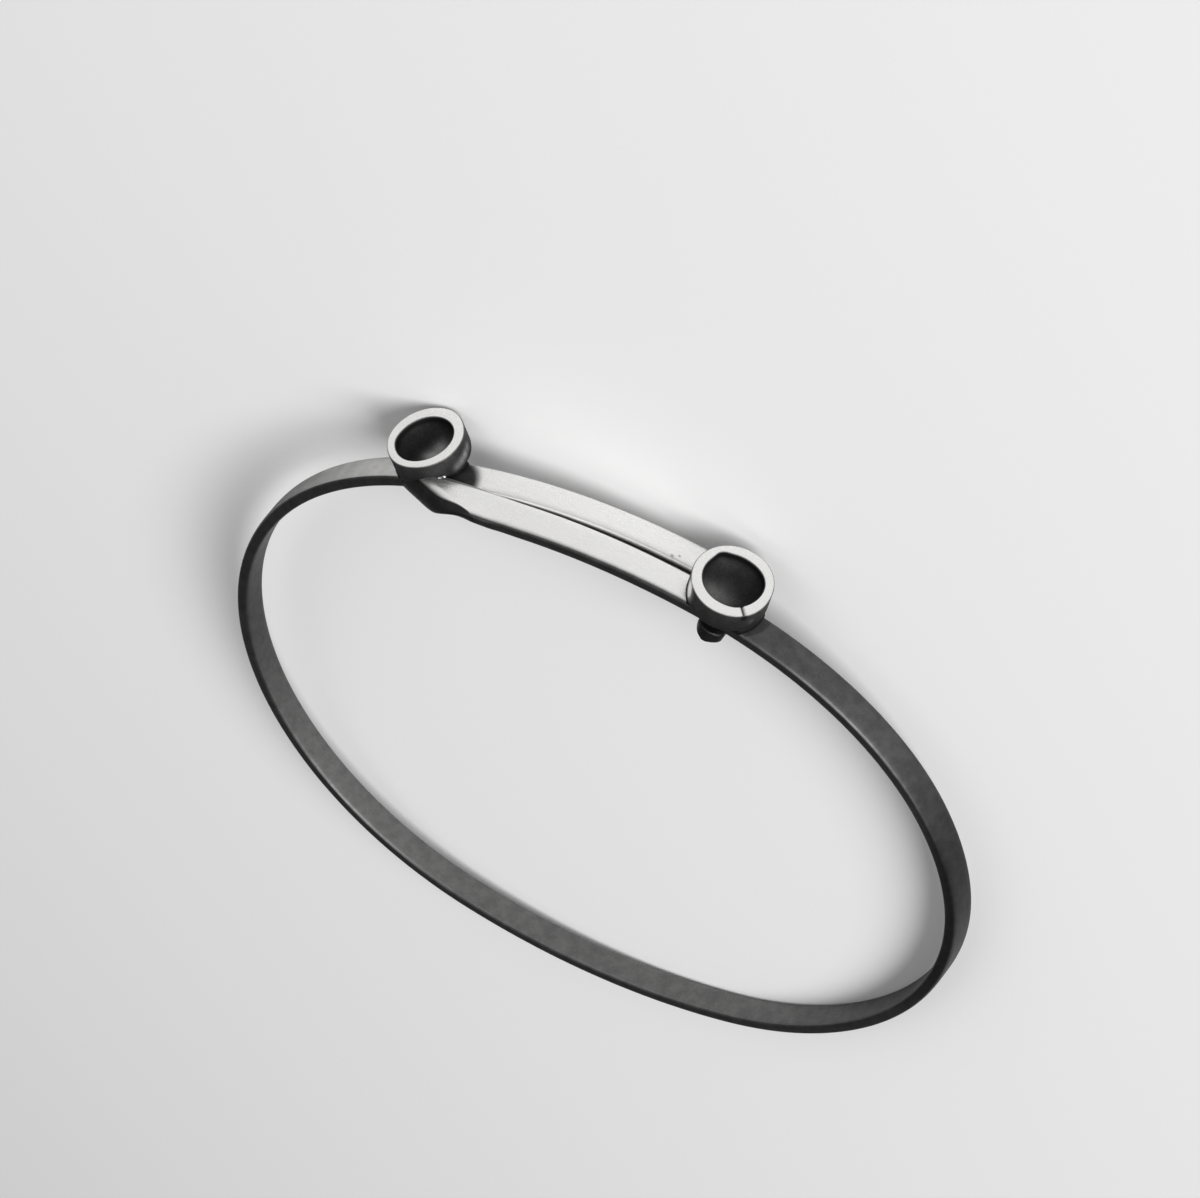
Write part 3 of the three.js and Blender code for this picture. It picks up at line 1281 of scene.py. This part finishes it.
@dataclass(frozen=True)
class SilverFinish:
    """What all the silver finishes share.

    Attributes:
        name: Name of the material.
        bright: Colour of clean silver.
        dark: Colour of tarnished silver, also used for painted shade.
        patch_scale: Patches of tarnish per metre.
        clean_roughness: Roughness of clean silver.
        dark_roughness: Roughness of tarnished silver.
    """

    name: str
    bright: Colour = (0.93, 0.925, 0.91)
    dark: Colour = (0.02, 0.02, 0.021)
    patch_scale: float = 1100.0
    clean_roughness: float = 0.3
    dark_roughness: float = 0.5

    def start(self) -> tuple[bpy.types.Material, NodeMaker, bpy.types.Node]:
        """Makes the material, with a metal shader in it.

        Returns:
            The material, a maker of its nodes and its shader.
        """
        material = bpy.data.materials.new(self.name)
        material.use_nodes = True
        shader = material.node_tree.nodes["Principled BSDF"]
        shader.inputs["Metallic"].default_value = 1.0
        return material, NodeMaker(material.node_tree), shader

    def tarnish(self, make: NodeMaker, amount: Socket, group: bpy.types.NodeTree) -> bpy.types.Node:
        """Places the tarnish group with this finish's own values.

        Args:
            make: Node maker of the material.
            amount: Amount of tarnish, painted shade counted in.
            group: The shared tarnish group.

        Returns:
            The group's node.
        """
        coordinates = make.node("ShaderNodeTexCoord").outputs["Object"]
        node = make.node("ShaderNodeGroup", node_tree=group)
        make.link(coordinates, node.inputs["Vector"])
        make.link(amount, node.inputs["Amount"])
        node.inputs["Patch Scale"].default_value = self.patch_scale
        node.inputs["Bright"].default_value = (*self.bright, 1.0)
        node.inputs["Dark"].default_value = (*self.dark, 1.0)
        return node

    def dress(
        self,
        make: NodeMaker,
        shader: bpy.types.Node,
        tarnish: bpy.types.Node,
        uneven: Socket,
        bump: bpy.types.Node,
    ) -> None:
        """Feeds the shader's colour, roughness and normal.

        Args:
            make: Node maker of the material.
            shader: Its metal shader.
            tarnish: Its tarnish group's node.
            uneven: Small unevenness of the roughness.
            bump: Node that gives the normal.
        """
        make.link(tarnish.outputs["Color"], shader.inputs["Base Color"])
        range_of_roughness = (self.clean_roughness, self.dark_roughness)
        steady = make.remap(tarnish.outputs["Mask"], (0.0, 1.0), range_of_roughness)
        make.link(make.math("ADD", steady, uneven), shader.inputs["Roughness"])
        make.link(bump.outputs["Normal"], shader.inputs["Normal"])

    def bump(self, make: NodeMaker, height: Socket, strength: float, distance: float) -> bpy.types.Node:
        """Adds a Bump node.

        Args:
            make: Node maker of the material.
            height: Height that it reads.
            strength: Its strength.
            distance: Its distance, in metres.

        Returns:
            The node.
        """
        node = make.node("ShaderNodeBump")
        node.inputs["Strength"].default_value = strength
        node.inputs["Distance"].default_value = distance
        make.link(height, node.inputs["Height"])
        return node


@dataclass(frozen=True)
class Stain:
    """A round dark patch on the strip: either painted shadow at a cup's foot or a real small stain.

    Attributes:
        arc: Arc length of its middle.
        aside: Distance of its middle from the strip's centre line.
        full: Radius of its full part.
        clear: Radius at which it ends.
        amount: Darkening at its middle, given as tarnish.
    """

    arc: float
    aside: float
    full: float
    clear: float
    amount: float


@dataclass(frozen=True)
class StripFinish(SilverFinish):
    """Satin silver with brushed lines along the strip, and painted shade in steps round it, on its folds
    and edges and at the cups' feet.

    Attributes:
        hooks: The two hooks of the strip.
        hook: Painted shade on the folded ends, which turn away from the light.
        edge: Painted shade on the upper edge.
        right_shades: Steps of painted shade from the front's middle down the right side to the
        back: the right cup's shadow, then the side turning away from the light, then a plain grey at
        the back. Each gives the distances from the front's middle where it begins and ends, and the
        tarnish it reaches.
        left_shades: The same from the back up the left side to the second pass of the front,
        as painted shade where that side turns away from the light.
        stains: Painted shadows of the two cups on the strip at their feet, and two small real
        dark spots.
    """

    hooks: tuple[Hook, ...] = ()
    # Painted shade on the folds, which turn away from the light.
    hook: float = 0.985
    # Painted shade on the upper edges and in the gap between the strands.
    edge: float = 0.95
    # Painted shade: the right cup's shadow, then the side turning from the light, then plain grey at the
    # back.
    right_shades: tuple[tuple[float, float, float], ...] = (
        (12.0, 15.5, 0.92),
        (26.0, 42.0, 0.99),
        (50.0, 80.0, 0.84),
    )
    # Painted shade up the left side, which clears towards the front.
    left_shades: tuple[tuple[float, float, float], ...] = (
        (62.0, 40.0, 0.96),
        (33.0, 13.5, 0.4),
        (12.5, 9.5, 0.0),
    )
    stains: tuple[Stain, ...] = (
        # Painted shadows of the left and the right cup beside their feet.
        Stain(-173.12, -1.66, 2.8, 3.6, 0.955),
        Stain(-13.4, 0.98, 2.6, 3.4, 0.955),
        # Two small real dark spots.
        Stain(-191.3, -0.95, 0.06, 0.2, 0.5),
        Stain(-191.75, -0.7, 0.039, 0.13, 0.5),
    )

    def material(self, oval: Oval, group: bpy.types.NodeTree) -> bpy.types.Material:
        """Builds the material.

        Args:
            oval: Oval of the strip, for the distance round it.
            group: The shared tarnish group.

        Returns:
            The finished material.
        """
        material, make, shader = self.start()
        place = make.node("ShaderNodeAttribute", attribute_name=STRIP_ATTRIBUTE)
        split = make.node("ShaderNodeSeparateXYZ")
        make.link(place.outputs["Vector"], split.inputs[0])
        # Every darkening here is painted shade, except the plain grey at the back and the two small real
        # spots.
        shades = [self.greying(make, split.outputs["X"], oval), self.edge_shade(make, split)]
        shades += [self.hook_shade(make, split, hook, oval) for hook in self.hooks]
        shades += [self.stained(make, split, dark_patch) for dark_patch in self.stains]
        amount = shades[0]
        for shade in shades[1:]:
            amount = make.math("MAXIMUM", amount, shade)
        tarnish = self.tarnish(make, amount, group)

        stretched = make.node("ShaderNodeVectorMath", operation="MULTIPLY")
        make.link(place.outputs["Vector"], stretched.inputs[0])
        stretched.inputs[1].default_value = (0.35, 9.0, 3.0)
        brushed = make.noise(stretched.outputs[0], 1.0, 4.0, 0.65)
        lines = make.remap(brushed, (0.3, 0.7), (-0.05, 0.05))
        height = make.math("MULTIPLY_ADD", tarnish.outputs["Fine"], 0.6, brushed)
        self.dress(make, shader, tarnish, lines, self.bump(make, height, 0.15, 0.02 * MM))
        return material

    def stained(self, make: NodeMaker, split: bpy.types.Node, dark_patch: Stain) -> Socket:
        """Darkening of one round patch.

        Args:
            make: Node maker of the material.
            split: Node that gives the arc length as X and the distance aside as Y.
            dark_patch: The patch.

        Returns:
            The amount of darkening, given as tarnish.
        """
        along = make.math("SUBTRACT", split.outputs["X"], dark_patch.arc)
        across = make.math("SUBTRACT", split.outputs["Y"], dark_patch.aside)
        square = make.math("MULTIPLY_ADD", along, along, make.math("MULTIPLY", across, across))
        return make.remap(make.math("SQRT", square), (dark_patch.full, dark_patch.clear), (dark_patch.amount, 0.0))

    def greying(self, make: NodeMaker, arc: Socket, oval: Oval) -> Socket:
        """Painted shade round the strip, which changes in soft steps: darkest just past the right cup
        and where the sides turn away from the light, plain grey at the back and clean at the front.

        Args:
            make: Node maker of the material.
            arc: Arc length along the strip, which falls from 0 at the front's middle.
            oval: Oval of the strip.

        Returns:
            The amount of painted shade, given as tarnish.
        """
        whole = oval.perimeter
        steps = list(self.right_shades)
        steps += [(whole - begins, whole - ends, reached) for begins, ends, reached in self.left_shades]
        begins, ends, level = steps[0]
        total = make.remap(arc, (-ends, -begins), (level, 0.0))
        for begins, ends, reached in steps[1:]:
            change = make.remap(arc, (-ends, -begins), (reached - level, 0.0))
            total = make.math("ADD", total, change)
            level = reached
        return total

    def hook_shade(self, make: NodeMaker, split: bpy.types.Node, hook: Hook, oval: Oval) -> Socket:
        """Painted shade on a folded end, which starts where the face turns under.

        The line where it starts bows back towards the strip's outer side.

        Args:
            make: Node maker of the material.
            split: Node that gives the arc length as X and the distance aside as Y.
            hook: The folded end.
            oval: Oval of the strip.

        Returns:
            The amount of painted shade, given as tarnish.
        """
        starts, full = 0.4, 0.85
        inner, outer = 0.7, -1.2
        bow, bow_power = 0.09, 4.0
        heading = float(hook.end.value)
        ahead = make.math("SUBTRACT", split.outputs["X"], hook.arc(oval))
        ahead = make.math("MULTIPLY", ahead, heading)
        sides = (outer * heading, inner * heading)
        outward = make.remap(split.outputs["Y"], sides, (inner - outer, 0.0))
        past = make.math("MULTIPLY_ADD", make.math("POWER", outward, bow_power), bow, ahead)
        return make.remap(past, (starts, full), (0.0, self.hook))

    def edge_shade(self, make: NodeMaker, split: bpy.types.Node) -> Socket:
        """Painted shade on the strip's edges, which stands for the dark they mirror and for the shade
        between the strands.

        The upper edge is dark but for its corners, and so is all that the left end's flare adds to
        it. Where it lies in the front's gap it brightens towards the outer face. The lower edge is
        dark only beside the left hook, where the strands nearly touch.

        Args:
            make: Node maker of the material.
            split: Node that gives the arc length, the distance aside and the depth.

        Returns:
            The amount of painted shade, given as tarnish.
        """
        arc, aside, through = split.outputs
        before_gap, beside_hook = (-176.5, -173.5), (-8.0, 4.0)
        upper, rim_of_flare, lower = (-1.1, -0.6), (-1.36, -1.2), (1.1, 1.19)
        outside = make.remap(make.math("ABSOLUTE", through), (0.84, 0.99), (self.edge, 0.0))
        in_gap = make.remap(through, (0.1, 0.95), (self.edge, 0.14))
        share = make.remap(arc, before_gap, (0.0, 1.0))
        both = make.math("MULTIPLY_ADD", make.math("SUBTRACT", outside, in_gap), share, in_gap)
        top = make.math("MULTIPLY", both, make.remap(aside, upper, (1.0, 0.0)))
        spread = make.math("MULTIPLY", share, make.remap(aside, rim_of_flare, (self.edge, 0.0)))
        near = make.remap(arc, beside_hook, (0.0, 1.0))
        bottom = make.math("MULTIPLY", near, make.remap(aside, lower, (0.0, 0.6)))
        return make.math("MAXIMUM", make.math("MAXIMUM", top, spread), bottom)


@dataclass(frozen=True)
class CupFinish(SilverFinish):
    """Bright satin rim over a blackened wall and inside, with painted highlights and a painted-shade
    solder bed.
    """

    def material(self, group: bpy.types.NodeTree) -> bpy.types.Material:
        """Builds the material from the darkness stored on the mesh: blackening, painted highlights and
        painted shade.

        Args:
            group: The shared tarnish group.

        Returns:
            The finished material.
        """
        material, make, shader = self.start()
        soot = make.node("ShaderNodeAttribute", attribute_name=SOOT_AND_PAINTED_LIGHT_ATTRIBUTE).outputs["Fac"]
        tarnish = self.tarnish(make, soot, group)
        fine = tarnish.outputs["Fine"]
        grain = make.remap(fine, (0.3, 0.7), (-0.05, 0.05))
        self.dress(make, shader, tarnish, grain, self.bump(make, fine, 0.2, 0.03 * MM))
        return material


# ---- the table, the lights and the camera -------------------------------------------------


@dataclass(frozen=True)
class SoftLight:
    """A soft round light that faces the bangle.

    Attributes:
        name: Name of the light.
        place: Where it stands, in metres.
        size: Its width, in metres.
        power: Its power, in watts.
    """

    name: str
    place: tuple[float, float, float]
    size: float
    power: float

    def add(self) -> None:
        """Adds the light to the scene."""
        data = bpy.data.lights.new(self.name, "AREA")
        data.shape = "DISK"
        data.size = self.size
        data.energy = self.power
        lamp = bpy.data.objects.new(self.name, data)
        lamp.location = self.place
        lamp.rotation_euler = (-Vector(self.place)).to_track_quat("-Z", "Y").to_euler()
        bpy.context.scene.collection.objects.link(lamp)


@dataclass
class Studio:
    """Pale table, soft lights and the camera.

    Attributes:
        table_size: Width of the table, in metres.
        table_colour: Colour of the table.
        lights: The lights: one at the side, and a weak broad one in front.
        surroundings: Brightness of the even white surroundings.
        aim: Point the camera looks at, in millimetres.
        distance: Camera's distance from that point, in millimetres.
        azimuth: Camera's direction round the bangle, in degrees from the front.
        elevation: Camera's height above the table's plane, in degrees.
        roll: Turn of the camera about its own axis, in degrees.
        lens: Focal length in millimetres.
    """

    table_size: float = 3.0
    table_colour: Colour = (0.8, 0.8, 0.8)
    lights: tuple[SoftLight, ...] = (
        SoftLight("side_light", (-0.84, -0.41, 0.58), 0.6, 15.0),
        SoftLight("front_light", (0.25, -0.57, 0.45), 0.8, 1.7),
    )
    surroundings: float = 0.2
    aim: tuple[float, float, float] = (-2.018, -18.596, 3.9)
    distance: float = 211.75
    azimuth: float = -28.055
    elevation: float = 36.359
    roll: float = -139.069
    lens: float = 90.0

    def table(self) -> bpy.types.Object:
        """Makes the table top, level with the lowest point of the bangle.

        Returns:
            The table.
        """
        top = bmesh.new()
        bmesh.ops.create_grid(top, x_segments=1, y_segments=1, size=self.table_size / 2)
        mesh = bpy.data.meshes.new("table")
        top.to_mesh(mesh)
        top.free()
        material = bpy.data.materials.new("Pale Table")
        material.use_nodes = True
        shader = material.node_tree.nodes["Principled BSDF"]
        shader.inputs["Base Color"].default_value = (*self.table_colour, 1.0)
        shader.inputs["Roughness"].default_value = 0.85
        shader.inputs["Specular IOR Level"].default_value = 0.1
        mesh.materials.append(material)
        table = bpy.data.objects.new("table", mesh)
        bpy.context.scene.collection.objects.link(table)
        return table

    def lighting(self) -> None:
        """Adds the lights and the even surroundings."""
        for light in self.lights:
            light.add()
        world = bpy.data.worlds.new("Studio")
        world.use_nodes = True
        background = world.node_tree.nodes["Background"]
        background.inputs["Color"].default_value = (1.0, 1.0, 1.0, 1.0)
        background.inputs["Strength"].default_value = self.surroundings
        bpy.context.scene.world = world
        bpy.context.scene.view_settings.view_transform = "Standard"

    def camera(self) -> bpy.types.Object:
        """Places the camera and makes it the scene's own.

        Returns:
            The camera.
        """
        azimuth = math.radians(self.azimuth)
        elevation = math.radians(self.elevation)
        back = Vector((math.sin(azimuth), -math.cos(azimuth), 0.0)) * math.cos(elevation)
        back.z = math.sin(elevation)
        data = bpy.data.cameras.new("Camera")
        data.lens = self.lens
        data.sensor_width = 36.0
        data.clip_start = 0.01
        data.clip_end = 20.0
        camera = bpy.data.objects.new("Camera", data)
        camera.rotation_mode = "QUATERNION"
        turned = (-back).to_track_quat("-Z", "Y").to_matrix().to_4x4()
        rolled = turned @ Matrix.Rotation(math.radians(self.roll), 4, "Z")
        camera.rotation_quaternion = rolled.to_quaternion()
        camera.location = (Vector(self.aim) + back * self.distance) * MM
        bpy.context.scene.collection.objects.link(camera)
        bpy.context.scene.camera = camera
        return camera


# ---- the bangle ---------------------------------------------------------------------------


def left_cup(strip: Strip) -> Cup:
    """Settles the sizes of the cup above the left hook.

    Args:
        strip: The strip that carries it.

    Returns:
        The cup.
    """
    at = 12.5
    return Cup(
        "left_cup",
        at=at,
        strand=strip.centre_height(at - strip.oval.perimeter),
        aside=-1.24,
        lean=5.3,
        turn=-4.0,
        bore_shift=(-0.02, 0.12),
        seed=11,
        outside=(
            Swell(212, 35, 0.15),
            Swell(50, 35, 0.04),
            Swell(140, 22, -0.07),
            Swell(322, 32, -0.09),
        ),
        inside=(Swell(275, 22, 0.03), Swell(345, 22, 0.05), Swell(108, 30, -0.03)),
        # Painted light: a lit patch in the dish and the strip's reflection low on the outer wall.
        rubs=(
            Rub(205, 1.3, 0.7, 0.8, -0.24),
            Rub(240, 0.5, 0.5, 0.6, -0.28),
            Rub(140, 0.8, 0.6, 0.6, -0.26),
            Rub(200, 3.0, 0.6, 0.3, -0.25),
            Rub(190, 3.0, 0.68, 0.3, -0.3),
            Rub(180, 3.0, 0.8, 0.3, -0.35),
            Rub(168, 2.95, 0.95, 0.3, -0.2),
        ),
    )


def right_cup(strip: Strip) -> Cup:
    """Settles the sizes of the cup above the right hook.

    Args:
        strip: The strip that carries it.

    Returns:
        The cup.
    """
    at = -12.67
    return Cup(
        "right_cup",
        at=at,
        strand=strip.centre_height(at),
        aside=-0.98,
        lean=0.2,
        turn=3.0,
        bore_shift=(0.06, -0.06),
        seed=23,
        outside=(Swell(175, 45, -0.22), Swell(40, 30, 0.05), Swell(290, 35, 0.05)),
        inside=(
            Swell(42, 15, 0.2),
            Swell(100, 30, -0.13),
            Swell(192, 35, -0.07),
            Swell(240, 15, 0.06),
        ),
        # Painted light: a lit patch in the dish, the strip's bright reflection at the wall's foot and a
        # small lighter smear.
        rubs=(
            Rub(290, 1.2, 0.65, 1.1, -0.17),
            Rub(320, 1.6, 0.75, 0.7, -0.08),
            Rub(322, 2.95, 1.5, 0.42, -1.0),
            Rub(320, 2.95, 1.1, 0.42, -1.0),
            Rub(318, 2.95, 0.75, 0.34, -0.8),
            Rub(214, 2.9, 1.0, 0.22, -0.08),
        ),
        seam=Seam(),
    )


@dataclass
class Bangle:
    """The whole bangle: strip, cups and solder.

    Attributes:
        oval: Oval of the strip's outer face.
        strip: The strip with its two hooks.
        left: Solder bed above the left hook, with its cup.
        right: Solder bed above the right hook, with its cup.
        pitch: Rotation about X that lays the bangle down, in degrees.
        roll: Rotation about Y before that one, in degrees.
    """

    oval: Oval
    strip: Strip
    left: SolderBed
    right: SolderBed
    pitch: float = -3.276
    roll: float = -3.088

    @classmethod
    def made(cls) -> Bangle:
        """Settles the sizes of every piece.

        Returns:
            The bangle.
        """
        oval = Oval()
        section = Section()
        left = Hook(End.LEFT, at=9.15, angle=math.radians(27), tail=3.2, width=1.3, radius=0.84)
        right = Hook(End.RIGHT, at=11.35, angle=math.radians(45), tail=3.0, width=2.25, radius=0.65)
        strip = Strip(oval, section, left, right)
        reach = section.width / 2 - 0.04
        beads = (Bead(238, 3.22, 0.62, 0.15), Bead(228, 3.22, 0.62, 0.17), Bead(222, 3.2, 0.6, 0.12))
        left_bed = SolderBed(left_cup(strip), reach, beads)
        return cls(oval, strip, left_bed, SolderBed(right_cup(strip), reach))

    def attitude(self, record: dict) -> Attitude:
        """Finds how the bangle lies from the left cup's rim, whose place the frame gives.

        Args:
            record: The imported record.

        Returns:
            The attitude at rest.
        """
        rim = next(mount for mount in record["mounts"] if mount["name"] == "left_cup_rim")
        resting = Vector(rim["pos_m"]) / MM
        level = self.left.cup.rim_point(self.oval)
        return Attitude.from_mount(self.pitch, self.roll, level, resting)

    def build(self, record: dict) -> list[bpy.types.Object]:
        """Makes every piece and lets them stand for the CAD solid.

        Args:
            record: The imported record.

        Returns:
            The pieces.
        """
        attitude = self.attitude(record)
        group = tarnish_group()
        strip_finish = StripFinish("Satin Strip Silver", hooks=(self.strip.left, self.strip.right))
        strip_silver = strip_finish.material(self.oval, group)
        cup_silver = CupFinish("Blackened Cup Silver", dark_roughness=0.72).material(group)
        pieces = [self.strip.build(strip_silver, attitude)]
        for bed in (self.left, self.right):
            pieces.append(bed.cup.build(self.oval, cup_silver, attitude))
            pieces.extend(bed.build(self.oval, cup_silver, attitude))
        for piece in pieces:
            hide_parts(CAD_NODE)
        return pieces


def main() -> None:
    """Builds the bangle and its studio in order."""
    logging.basicConfig(level=logging.INFO, format="%(name)s: %(message)s")
    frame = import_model()
    studio = Studio()
    studio.camera()
    pieces = Bangle.made().build(frame["record"])
    LOG.info("bangle: %d pieces", len(pieces))
    studio.table()
    studio.lighting()


if __name__ == "__main__":
    main()
